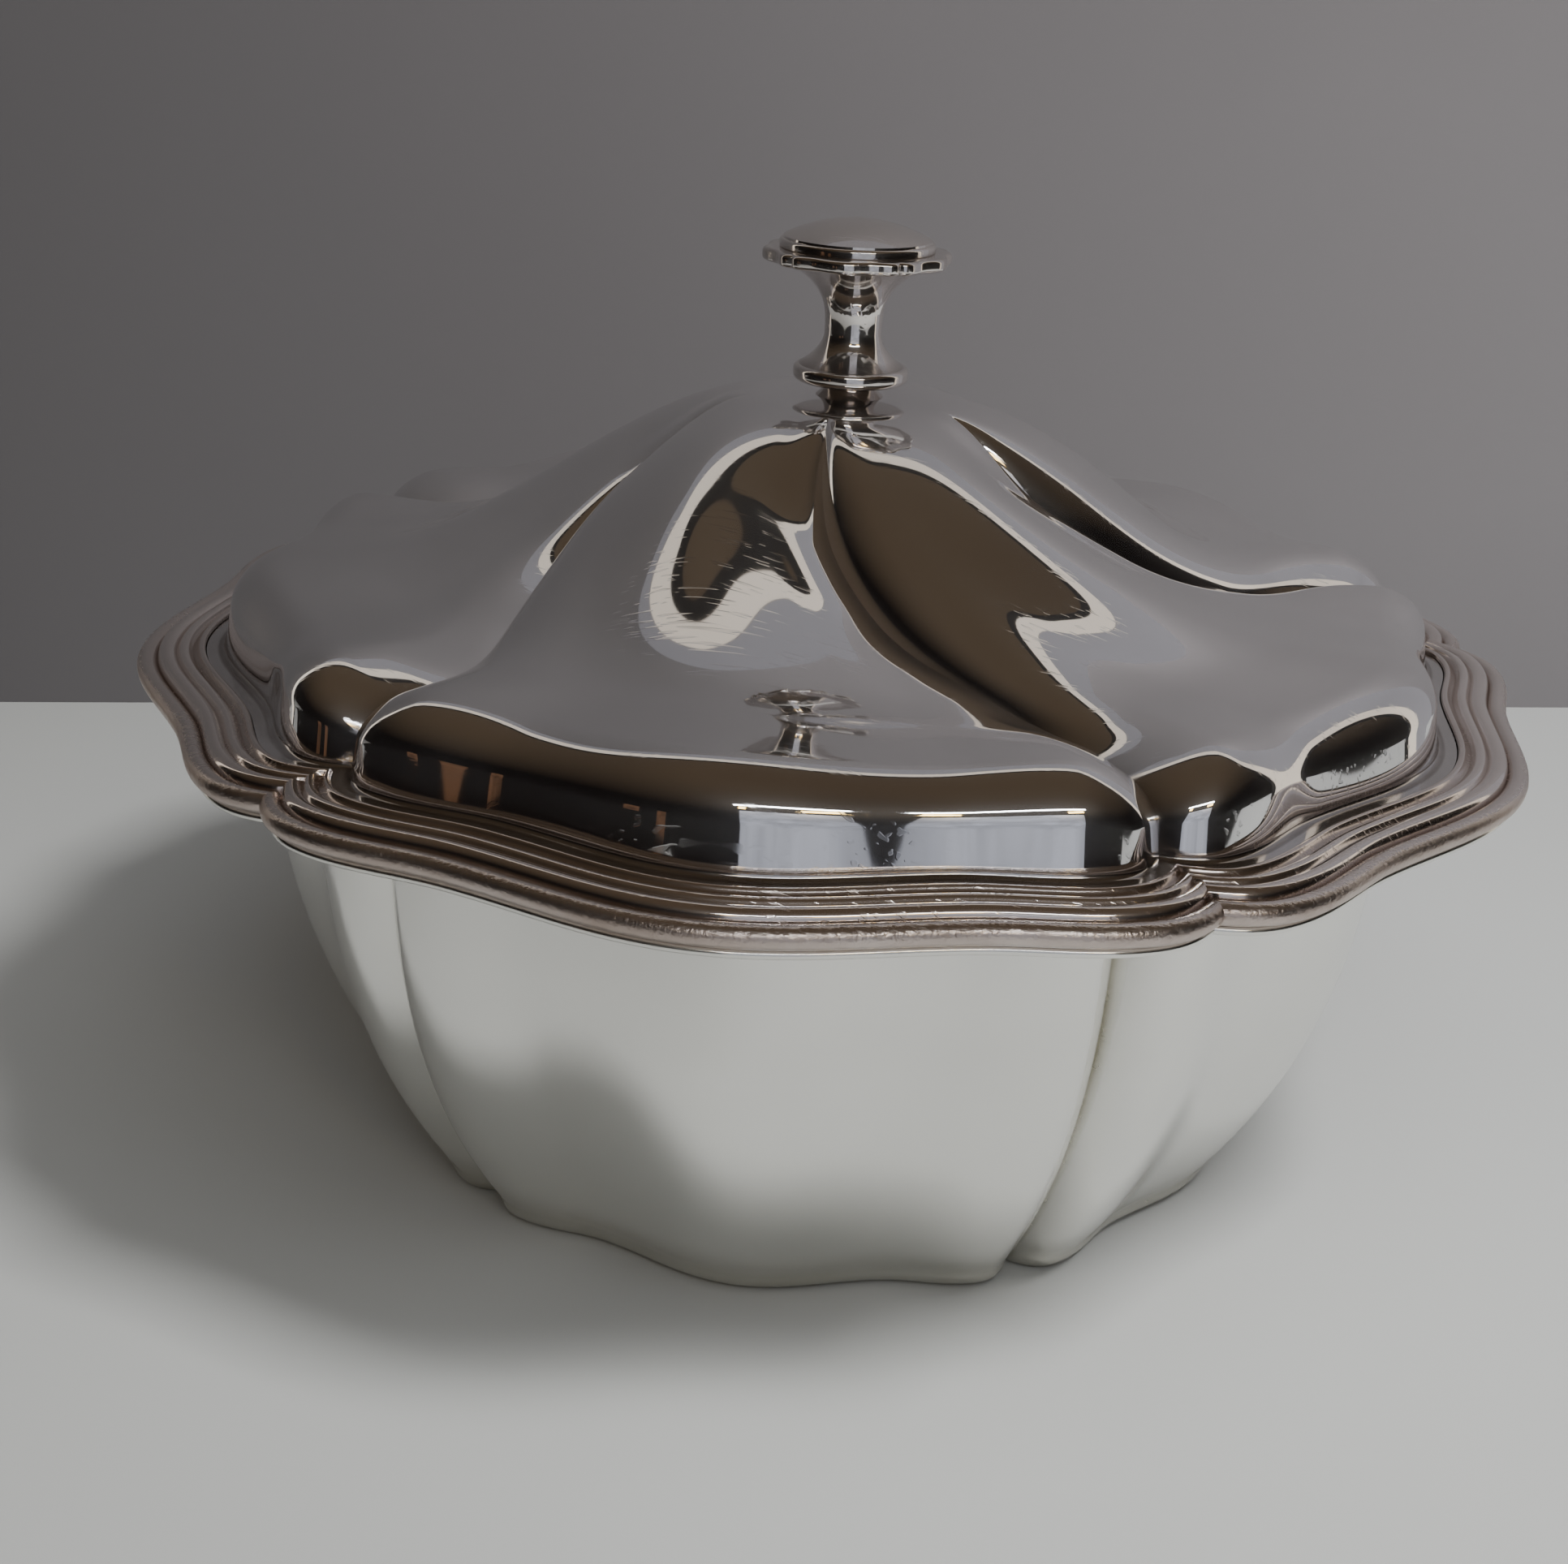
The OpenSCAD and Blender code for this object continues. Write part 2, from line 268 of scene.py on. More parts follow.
@dataclass(frozen=True)
class MetalFinish:
    """A metal: its colour, its polish, its wear, and the tarnish and painted shade that darken its marked
    places.
    """

    name: str
    color: Triple
    # Dark tone of marked places: tarnish, and painted shade in creases, corners and under parts.
    tarnish_and_shade: Triple = (0.10, 0.06, 0.035)
    roughness: float = 0.05
    uneven: float = 0.03
    haze: float = 0.10
    scratch_depth: float = 0.15
    ripple: float = 0.0
    grain: float = 0.0
    tarnish_and_shade_amount: float = 0.5
    specks: float = 0.0
    veil: float = 0.06

    def material(self) -> bpy.types.Material:
        """Builds the node material.

        Returns:
            A material that reads object coordinates and the attributes cavity and grain.
        """
        made, kit = Nodes.start(self.name)
        place = kit.add("ShaderNodeTexCoord").outputs["Object"]
        cavity = kit.attribute("cavity")
        edge = kit.attribute("grain")

        cloud = kit.noise(place, CLOUD_WAVES, 4.0, 0.6)
        patch = kit.noise(place, PATCH_WAVES, 3.0, 0.55)
        fine = kit.noise(place, GRAIN_WAVES, 2.0, 0.5)
        hair = kit.scratches(place)
        swirl = kit.scratches(place, (0.4, 1.1, 0.9), (160.0, 2400.0, 900.0), 0.66, 0.70)
        worn = kit.ramp(kit.noise(place, WORN_WAVES, 1.0, 0.5), 0.42, 0.62, 0.15, 1.0)
        marks = kit.math("MULTIPLY", kit.math("MAXIMUM", hair, swirl), worn)

        # Painted shade with tarnish: where the cavity mark is set, the colour fades towards the dark
        # tone, a little patchily.
        dark = kit.math("MULTIPLY", cavity, kit.ramp(cloud, 0.25, 0.75, 0.55, 1.0))
        dark = kit.math("MULTIPLY", dark, self.tarnish_and_shade_amount)
        dim = tuple(0.90 * c for c in self.color)
        tone = kit.mix(self.color, dim, kit.ramp(patch, 0.35, 0.7, 0.0, 1.0))
        tone = kit.mix(tone, self.tarnish_and_shade, dark)
        if self.specks:
            dots = kit.specks(place, self.specks)
            tone = kit.mix(tone, (0.07, 0.065, 0.055), dots)

        rough = kit.ramp(cloud, 0.3, 0.75, self.roughness, self.roughness + self.uneven)
        rough = kit.math("ADD", rough, kit.math("MULTIPLY", marks, self.haze))
        rough = kit.math("ADD", rough, kit.math("MULTIPLY", dark, 0.25))
        rough = kit.math("ADD", rough, kit.math("MULTIPLY", edge, 0.16))

        normal = kit.bump(kit.math("MULTIPLY", marks, -1.0), self.scratch_depth, SCRATCH_RELIEF, None)
        if self.ripple:
            waves = kit.noise(place, RIPPLE_WAVES, 2.0, 0.4)
            normal = kit.bump(waves, self.ripple, RIPPLE_RELIEF, normal)
        if self.grain:
            normal = kit.bump(kit.math("MULTIPLY", fine, edge), self.grain, GRAIN_RELIEF, normal)

        shader = kit.add("ShaderNodeBsdfPrincipled")
        shader.inputs["Metallic"].default_value = 1.0
        kit.link(tone, shader.inputs["Base Color"])
        kit.link(rough, shader.inputs["Roughness"])
        kit.link(normal, shader.inputs["Normal"])
        veil = kit.add("ShaderNodeBsdfPrincipled")
        veil.inputs["Metallic"].default_value = 1.0
        veil.inputs["Roughness"].default_value = VEIL_ROUGHNESS
        kit.link(tone, veil.inputs["Base Color"])
        kit.link(normal, veil.inputs["Normal"])
        both = kit.blend(self.veil, shader.outputs["BSDF"], veil.outputs["BSDF"])
        kit.link(both, kit.add("ShaderNodeOutputMaterial").inputs["Surface"])
        return made


class Nodes:
    """Short names for the shader nodes that the finishes share."""

    def __init__(self, tree: bpy.types.NodeTree) -> None:
        """Keeps the tree that nodes are added to."""
        self.tree = tree

    @classmethod
    def start(cls, name: str) -> tuple[bpy.types.Material, "Nodes"]:
        """Makes an empty node material.

        Args:
            name: name of the material.

        Returns:
            The material and the helper for its tree.
        """
        made = bpy.data.materials.new(name)
        made.use_nodes = True
        made.node_tree.nodes.clear()
        return made, cls(made.node_tree)

    def add(self, kind: str) -> bpy.types.Node:
        """Adds a node of a kind."""
        return self.tree.nodes.new(kind)

    def link(self, source: Socket, target: Socket) -> None:
        """Joins two sockets."""
        self.tree.links.new(source, target)

    def put(self, source: object, target: Socket) -> None:
        """Links a socket, or sets a number, on an input."""
        if isinstance(source, Socket):
            self.link(source, target)
        else:
            target.default_value = source

    def attribute(self, name: str) -> Socket:
        """The value of the float attribute called name."""
        node = self.add("ShaderNodeAttribute")
        node.attribute_name = name
        return node.outputs["Fac"]

    def math(self, kind: str, a: object, b: object) -> Socket:
        """One arithmetic step.

        Args:
            kind: the operation.
            a: first socket or number.
            b: second socket or number.

        Returns:
            The result's socket.
        """
        node = self.add("ShaderNodeMath")
        node.operation = kind
        self.put(a, node.inputs[0])
        self.put(b, node.inputs[1])
        return node.outputs[0]

    def noise(self, place: object, scale: float, detail: float, rough: float) -> Socket:
        """Cloudy noise.

        Args:
            place: coordinates in metres.
            scale: waves a metre.
            detail: number of finer waves on top.
            rough: strength of the finer waves.

        Returns:
            A socket that runs from 0 to 1.
        """
        node = self.add("ShaderNodeTexNoise")
        self.link(place, node.inputs["Vector"])
        node.inputs["Scale"].default_value = scale
        node.inputs["Detail"].default_value = detail
        node.inputs["Roughness"].default_value = rough
        return node.outputs["Fac"]

    def ramp(self, fac: object, low: float, high: float, a: float, b: float) -> Socket:
        """Maps a number from one range to another, held at the ends.

        Args:
            fac: the number.
            low: start of its range.
            high: end of its range.
            a: result at low.
            b: result at high.

        Returns:
            The result's socket.
        """
        node = self.add("ShaderNodeMapRange")
        node.clamp = True
        self.put(fac, node.inputs["Value"])
        node.inputs["From Min"].default_value = low
        node.inputs["From Max"].default_value = high
        node.inputs["To Min"].default_value = a
        node.inputs["To Max"].default_value = b
        return node.outputs["Result"]

    def scratches(self, place: object, turn: tuple = (0.9, 0.3, 0.5),
                  scale: tuple = (90.0, 3200.0, 1500.0), low: float = 0.64,
                  high: float = 0.68) -> Socket:
        """Thin scattered hairlines: noise drawn out along one direction and cut at a high level.

        Args:
            place: coordinates in metres.
            turn: turn of the coordinates about x, y and z, in radians.
            scale: waves a metre along each turned direction.
            low: level of the noise where a hairline starts.
            high: level where it is full.

        Returns:
            A socket, 1 on a hairline.
        """
        node = self.add("ShaderNodeMapping")
        self.link(place, node.inputs["Vector"])
        node.inputs["Rotation"].default_value = turn
        node.inputs["Scale"].default_value = scale
        return self.ramp(self.noise(node.outputs["Vector"], 1.0, 1.0, 0.4), low, high, 0.0, 1.0)

    def specks(self, place: object, amount: float) -> Socket:
        """A few small dark specks: cells with a small distance to their seed, kept only here and there.

        Args:
            place: coordinates in metres.
            amount: size of the specks, 1 for a radius of about a third of a millimetre.

        Returns:
            A socket, 1 inside a speck.
        """
        node = self.add("ShaderNodeTexVoronoi")
        self.link(place, node.inputs["Vector"])
        node.inputs["Scale"].default_value = 55.0
        dot = self.ramp(node.outputs["Distance"], 0.018 * amount, 0.035 * amount, 1.0, 0.0)
        picked = self.ramp(self.noise(place, 60.0, 0.0, 0.5), 0.58, 0.60, 0.0, 1.0)
        return self.math("MULTIPLY", dot, picked)

    def mix(self, a: object, b: Triple, fac: object) -> Socket:
        """A colour between two others.

        Args:
            a: a colour, or the socket of one.
            b: the colour at fac 1.
            fac: share of b.

        Returns:
            The mixed colour's socket.
        """
        node = self.add("ShaderNodeMix")
        node.data_type = "RGBA"
        self.put((*a, 1.0) if isinstance(a, tuple) else a, node.inputs[6])
        node.inputs[7].default_value = (*b, 1.0)
        self.put(fac, node.inputs[0])
        return node.outputs[2]

    def blend(self, share: object, a: Socket, b: Socket) -> Socket:
        """A surface between two others.

        Args:
            share: share of the second, a number or a socket.
            a: the first surface.
            b: the second surface.

        Returns:
            The mixed surface's socket.
        """
        node = self.add("ShaderNodeMixShader")
        self.put(share, node.inputs[0])
        self.link(a, node.inputs[1])
        self.link(b, node.inputs[2])
        return node.outputs[0]

    def bump(self, height: object, strength: float, distance: float,
             normal: object) -> Socket:
        """A bump on top of another normal.

        Args:
            height: the relief, 0 to 1.
            strength: share of the bump that is used.
            distance: height of a full bump, in metres.
            normal: the normal under it, or None.

        Returns:
            The new normal's socket.
        """
        node = self.add("ShaderNodeBump")
        self.put(height, node.inputs["Height"])
        node.inputs["Strength"].default_value = strength
        node.inputs["Distance"].default_value = distance
        if normal is not None:
            self.link(normal, node.inputs["Normal"])
        return node.outputs["Normal"]


FINISHES: dict[Slot, MetalFinish] = {
    # The bowl's dark tone is olive: tarnish, and the colour of its painted shade at the creases and along
    # the bottom.
    Slot.BOWL: MetalFinish(
        "soft_silver", (0.93, 0.925, 0.89), (0.20, 0.17, 0.07), roughness=0.10, uneven=0.06, haze=0.06,
        scratch_depth=0.06, tarnish_and_shade_amount=0.7, specks=1.0, veil=0.25),
    Slot.LID: MetalFinish(
        "mirror_silver", (0.93, 0.92, 0.925), roughness=0.03, uneven=0.015, haze=0.08,
        scratch_depth=0.07, ripple=0.05, tarnish_and_shade_amount=0.8, veil=0.10),
    Slot.BORDER: MetalFinish(
        "worn_silver", (0.95, 0.88, 0.85), (0.24, 0.15, 0.10), roughness=0.07, uneven=0.04,
        haze=0.12, scratch_depth=0.3, grain=0.6, tarnish_and_shade_amount=0.7, veil=0.18),
    Slot.FINIAL: MetalFinish(
        "turned_silver", (0.87, 0.83, 0.80), roughness=0.05, uneven=0.03, haze=0.08,
        scratch_depth=0.2, tarnish_and_shade_amount=0.8, veil=0.12),
    Slot.FIXING: MetalFinish(
        "dull_brass", (0.62, 0.50, 0.28), roughness=0.3, uneven=0.1, haze=0.1,
        scratch_depth=0.3, tarnish_and_shade_amount=0.8),
}


@dataclass
class Dresser:
    """Hands out one material for each slot and fits pieces to the frame."""

    made: dict[Slot, bpy.types.Material] = field(default_factory=dict)

    def material(self, slot: Slot) -> bpy.types.Material:
        """The slot's material, made the first time it is asked for."""
        if slot not in self.made:
            self.made[slot] = FINISHES[slot].material()
        return self.made[slot]

    def dress(self, piece: Piece, slot: Slot, body: Body, *nodes: str) -> None:
        """Gives a piece its material, its body and the nodes that it stands for.

        Args:
            piece: the new mesh object.
            slot: the record's material slot.
            body: the body that it rides on.
            nodes: CAD nodes that it replaces.
        """
        piece.data.materials.clear()
        piece.data.materials.append(self.material(slot))
        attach(piece, body.value)
        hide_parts(*nodes)
        LOG.info("%s: %d faces, for %s", piece.name, len(piece.data.polygons), ", ".join(nodes))

    def keep(self, node: str, slot: Slot) -> None:
        """Gives a CAD node that stays as it is its material.

        Args:
            node: the node's name.
            slot: the record's material slot.
        """
        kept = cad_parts[node]
        kept.data.materials.clear()
        kept.data.materials.append(self.material(slot))
        LOG.info("%s: kept from the frame", node)


# --- the frame's sizes ---


@dataclass(frozen=True)
class Measures:
    """Sizes in metres read from the boxes of the CAD nodes."""

    outline: Outline
    plane: float
    edge_width: float
    lid_base: float
    bowl_top: float
    flange_top: float

    @classmethod
    def read(cls) -> "Measures":
        """Reads the boxes of the border, the lid and the bowl.

        Returns:
            The sizes that every piece is built from.
        """
        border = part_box("border_1")
        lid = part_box("lid_body")
        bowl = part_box("bowl_body")
        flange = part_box("bowl_flange")
        outline = Outline(radius=-border[0][1] / (1 + Outline.rise))
        return cls(outline=outline, plane=border[0][2] + LID_SHEET, edge_width=8.05 * MM,
                   lid_base=lid[0][2] + LID_SHEET, bowl_top=bowl[1][2], flange_top=flange[1][2])


# --- bowl ---


@dataclass
class Bowl:
    """The raised bowl and its flat flange."""

    sizes: Measures
    lobes: Outline = Outline(radius=57.4 * MM, rise=0.02, hollow=-0.026, side=0.022, cusp=-0.045)
    foot_radius: float = 44.9 * MM
    sheet: float = 1.0 * MM
    corner: float = 2.2 * MM
    flange_inset: float = 0.9 * MM
    # Height of the painted shade band along the bottom of the outside.
    bottom_shade: float = 6.0 * MM

    def radius(self, angle: Array, k: Array) -> Array:
        """Outside radius at a direction, k running from 0 at the table to 1 at the mouth."""
        mean = self.lobes.radius - (self.lobes.radius - self.foot_radius) * (1 - k) ** 2.5
        return mean * (1 + self.lobes.lobe(self.lobes.part(angle)))

    def build_shell(self) -> Piece:
        """The bowl's sheet: underside, outside, lip, inside and floor.

        Rows follow the section from the middle of the underside outwards, up the outside, over the lip
        and down the inside. The radius is the mean radius at that height times one plus the outline's
        lobe.

        Returns:
            The bowl shell.
        """
        turn = columns()[None, :]
        top = self.sizes.bowl_top
        quarter = np.linspace(0, np.pi / 2, 9)
        rise = np.linspace(0, 1, 56)[1:]
        flat = np.linspace(0.04, 0.96, 10)
        height = self.corner + (top - self.corner) * rise
        rows: list[Array] = []
        foot = self.radius(turn, np.zeros(1)[:, None])
        for share in flat:
            rows.append(ring((foot - self.corner) * share, turn, 0.0)[0])
        for a in quarter:
            raised = self.corner * (1 - np.cos(a))
            rows.append(ring(foot - self.corner * (1 - np.sin(a)), turn, raised)[0])
        for k, z in zip(rise, height):
            rows.append(ring(self.radius(turn, k), turn, z)[0])
        outer = len(rows)
        for k, z in zip(rise[::-1], height[::-1]):
            rows.append(ring(self.radius(turn, k) - self.sheet, turn, z)[0])
        for a in quarter:
            lowered = self.sheet + self.corner * (1 - np.sin(a))
            rows.append(ring(foot - self.sheet - self.corner * (1 - np.cos(a)), turn, lowered)[0])
        for share in flat[::-1]:
            rows.append(ring((foot - self.sheet - self.corner) * share, turn, self.sheet)[0])
        points = np.stack(rows)
        # Painted shade: a wide band darkens each panel towards its cusp, and a narrow line of tarnish and
        # painted shade marks the crease.
        part = self.lobes.part(turn)
        soft = 0.5 * np.clip((part - 0.84) / 0.16, 0, 1)
        crease = np.maximum(np.clip((part - 0.97) / 0.03, 0, 1), soft) ** 2
        cavity = np.broadcast_to(crease, points.shape[:2]).copy()
        # Painted shade: a dark band along the bottom of the outside, where the bowl mirrors its own
        # shadow on the floor.
        low = np.clip(1 - points[:outer, :, 2] / self.bottom_shade, 0, 1)
        cavity[:outer] = np.maximum(cavity[:outer], 0.75 * low)
        # Painted shade: the top of the bowl is darker just under the flange.
        under_flange = 1.2 * MM
        high = np.clip((points[..., 2] - (top - under_flange)) / under_flange, 0, 1)
        cavity = np.maximum(cavity, 0.6 * high)
        marks = {"cavity": cavity}
        return Patch("bowl_shell", points, first_pole=True, last_pole=True, marks=marks).build(35.0)

    def build_flange(self) -> Piece:
        """The flat flange round the mouth, with rounded edges.

        Returns:
            The flange ring.
        """
        turn = columns()[None, :]
        top = self.sizes.flange_top
        low = self.sizes.bowl_top
        half = (top - low) / 2
        round_out = np.linspace(-np.pi / 2, np.pi / 2, 9)
        edge = self.flange_inset + half
        rows = [ring(self.sizes.outline.at(turn, edge - half * np.cos(a)), turn,
                     low + half + half * np.sin(a))[0] for a in round_out]
        inside = self.radius(turn, 1.0) - self.sheet
        outside = self.sizes.outline.at(turn, edge)
        for share in np.linspace(0, 1, 12)[1:]:
            rows.append(ring(outside + (inside - outside) * share, turn, top)[0])
        for share in np.linspace(1, 0, 12)[:-1]:
            rows.append(ring(outside + (inside - outside) * share, turn, low)[0])
        marks = {"cavity": np.full((1, 1), 0.15)}
        return Patch("bowl_rim_flange", np.stack(rows), wrap_rows=True, marks=marks).build()

    def dress(self, dresser: Dresser) -> None:
        """Builds and dresses both pieces."""
        dresser.dress(self.build_shell(), Slot.BOWL, Body.BOWL, "bowl_body")
        dresser.dress(self.build_flange(), Slot.BOWL, Body.BOWL, "bowl_flange")


# --- lid ---


@dataclass
class Lid:
    """The raised lid: dome, shelf, shoulder, wall and flat flange in one sheet."""

    sizes: Measures
    sheet: float = LID_SHEET
    shelf: float = 10.3 * MM
    shelf_fall: float = 1.9 * MM
    dome: float = 16.0 * MM
    crease: float = 5.1 * MM
    swirl: float = 38.0
    shoulder_at: float = 0.897
    wall_top: tuple[float, float] = (0.980, 0.52)
    wall_foot: tuple[float, float] = (0.989, 0.07)
    flange_end: float = 6.8 * MM

    def twist(self, u: Array) -> Array:
        """Turn of the creases in radians, nothing at the wall and full near the finial."""
        return -math.radians(self.swirl) * ease(0.0, 1.0, (0.85 - u) / 0.7)

    def crease_part(self, u: Array, across: Array) -> Array:
        """Weight of a crease: 0 on the middle of a side, 1 in the cusp.

        On the dome each side is one rounded panel, which falls gently into the crease at its far end and
        steeply at its near end. Towards the wall it takes on the bumps of the outline.

        Args:
            u: share of the wall's radius.
            across: -1 at one cusp, 0 at the middle of a side and 1 at the next cusp.

        Returns:
            Weights from 0 to 1.
        """
        part = np.abs(across)
        near = ease(0.0, 0.3, part / 0.5)
        next_to = ease(0.3, 0.08, (part - 0.5) / 0.3)
        last = 0.08 + 0.92 * np.clip((part - 0.8) / 0.2, 0, 1) ** 1.6
        rim = np.where(part < 0.5, near, np.where(part < 0.8, next_to, last))
        panel = np.where(across > 0, part ** 1.7, part ** 4.2)
        return panel + (rim - panel) * ease(0.0, 1.0, (u - 0.6) / 0.3)

    def height(self, u: Array, fall: Array, across: Array) -> Array:
        """Height of the outside over the flange.

        The dome and the shelf are added, the creases are taken away, and the sum is brought down to
        nothing over the shoulder.

        Args:
            u: share of the wall's radius.
            fall: 1 on the dome and shelf, falling to 0 at the foot of the wall.
            across: -1 at one cusp, 0 at the middle of a side and 1 at the next cusp.

        Returns:
            Heights in metres.
        """
        dome = self.dome * ease(1.0, 0.0, (u - 0.13) / 0.64)
        shelf = self.shelf - self.shelf_fall * u * u
        depth = ease(0.0, 1.0, (u - 0.17) / 0.2) * ease(1.0, 0.67, (u - 0.476) / 0.19)
        return (dome + shelf - self.crease * depth * self.crease_part(u, across)) * fall

    def line(self) -> tuple[Array, Array]:
        """The section's course from the stud hole to the wall's foot.

        Returns:
            Shares of the wall's radius, and the shoulder's fall at each of them.
        """
        flat = np.linspace(0.03, self.shoulder_at, 84)
        top, foot = self.wall_top, self.wall_foot
        a = np.linspace(np.pi / 2, 0.1, 25)[1:]
        b = np.linspace(0, np.pi / 2, 9)[1:]
        k = np.linspace(0, 1, 9)[1:]
        shoulder = self.shoulder_at + (top[0] - self.shoulder_at) * np.cos(a) / math.cos(0.1)
        drop = 1 - (1 - top[1]) * (1 - np.sin(a)) / (1 - math.sin(0.1))
        u = [flat, shoulder, top[0] + (foot[0] - top[0]) * k, foot[0] + (1 - foot[0]) * (1 - np.cos(b))]
        fall = [np.ones_like(flat), drop, top[1] + (foot[1] - top[1]) * k, foot[1] * (1 - np.sin(b))]
        return np.concatenate(u), np.concatenate(fall)

    def build_shell(self) -> Piece:
        """The lid's sheet as one closed surface.

        Rows run from the stud hole over the dome, shelf and shoulder to the wall's foot, out along the
        flange, round its edge and back along the inside. Each radius is a share of the wall's outline.

        Returns:
            The lid shell.
        """
        turn = columns()[None, :]
        part = self.sizes.outline.part(turn)
        wall = self.sizes.outline.at(turn, self.sizes.edge_width)
        base = self.sizes.lid_base
        u, fall = self.line()
        u, fall = u[:, None], fall[:, None]
        rise = self.height(u, fall, self.sizes.outline.across(turn))
        twist = self.twist(u)
        outside = ring(u * wall, turn + twist, base + rise)
        flange_in = np.linspace(self.sizes.edge_width, self.flange_end, 6)[1:, None]
        flange = ring(self.sizes.outline.at(turn, flange_in), turn, base)
        end = np.full((1, 1), self.flange_end)
        lip = ring(self.sizes.outline.at(turn, end), turn, base - self.sheet)
        keep = np.r_[0 : len(u) : 2, len(u) - 1] if (len(u) - 1) % 2 else np.r_[0 : len(u) : 2]
        under = base - self.sheet + rise[keep]
        inside = ring(u[keep] * (wall - self.sheet), turn + twist[keep], under)[::-1]
        points = np.concatenate([outside, flange, lip, inside])
        # Through the cavity mark: tarnish and painted shade at the wall's foot and in its cusps, painted
        # shade under the border and inside the lid.
        cavity = np.zeros(points.shape[:2])
        foot = np.clip(1 - rise / (1.0 * MM), 0, 1) * (u > 0.95)
        crease = np.clip((part - 0.955) / 0.045, 0, 1) ** 2 * np.clip((u - 0.8) / 0.2, 0, 1)
        under_border = len(u) + len(flange) + len(lip)
        cavity[: len(u)] = np.maximum(foot, 0.8 * crease)
        cavity[len(u) : under_border] = 0.5
        cavity[under_border:] = 0.2
        return Patch("lid_shell", points, wrap_rows=True, marks={"cavity": cavity}, flip=True).build(40.0)

    def dress(self, dresser: Dresser) -> None:
        """Builds and dresses the lid and the hidden pieces under it."""
        dresser.dress(self.build_shell(), Slot.LID, Body.LID, "lid_body")
        dresser.keep("lid_bezel", Slot.BOWL)


@dataclass
class Border:
    """The moulded border, in five lengths mitred at the cusps."""

    sizes: Measures
    stations: int = 97

    def section(self) -> tuple[Array, Array, Array]:
        """The section from the outside in.

        Returns:
            Insets and heights in metres, and the depth of each point in a groove.
        """
        rows = np.vstack([
            [[0.55, -0.9]],
            bead_arc(1.05, 0.0, 1.05, -30, 150, 22),
            bead_arc(3.0, 0.75, 0.95, 20, 155, 20),
            bead_arc(4.65, 1.15, 0.6, 25, 155, 14),
            [[5.5, 1.15], [5.85, 1.35]],
            bead_arc(6.35, 1.45, 0.35, 20, 165, 10),
            [[6.75, -0.9]],
        ])
        rows = along(rows, 0.3)
        ridge = 0.95 + 0.16 * rows[:, 0]
        deep = np.clip((ridge - rows[:, 1]) / 0.7, 0, 1)
        return rows[:, 0] * MM, rows[:, 1] * MM, deep

    def build_length(self, number: int) -> Piece:
        """One length of border.

        The section is carried between two cusps; each point keeps its inset from the edge.

        Args:
            number: 1 to 5.

        Returns:
            The length of border.
        """
        inset, height, deep = self.section()
        start = FIRST_ANGLE - SIDE_ANGLE / 2 + (number - 1) * SIDE_ANGLE
        turn = np.linspace(start, start + SIDE_ANGLE, self.stations)
        inner = start + (turn - start) * (1 - 2e-9) + SIDE_ANGLE * 1e-9
        radius = self.sizes.outline.at(inner[None, :], inset[:, None])
        points = ring(radius, turn[None, :], self.sizes.plane + height[:, None])
        grain = np.clip(1 - inset / (1.9 * MM), 0, 1) ** 0.5
        # Tarnish and painted shade: darker deep in the grooves and near the mitred cusps.
        pinch = 0.4 * self.sizes.outline.pinch(self.sizes.outline.part(inner))[None, :]
        deep = np.clip(deep[:, None] + pinch, 0, 1)
        marks = {"cavity": deep, "grain": np.broadcast_to(grain[:, None], deep.shape)}
        patch = Patch(f"border_length_{number}", points, wrap_rows=True, wrap_columns=False, marks=marks)
        return patch.build(60.0)

    def dress(self, dresser: Dresser) -> None:
        """Builds and dresses all five lengths."""
        for number in range(1, SIDES + 1):
            dresser.dress(self.build_length(number), Slot.BORDER, Body.LID, f"border_{number}")


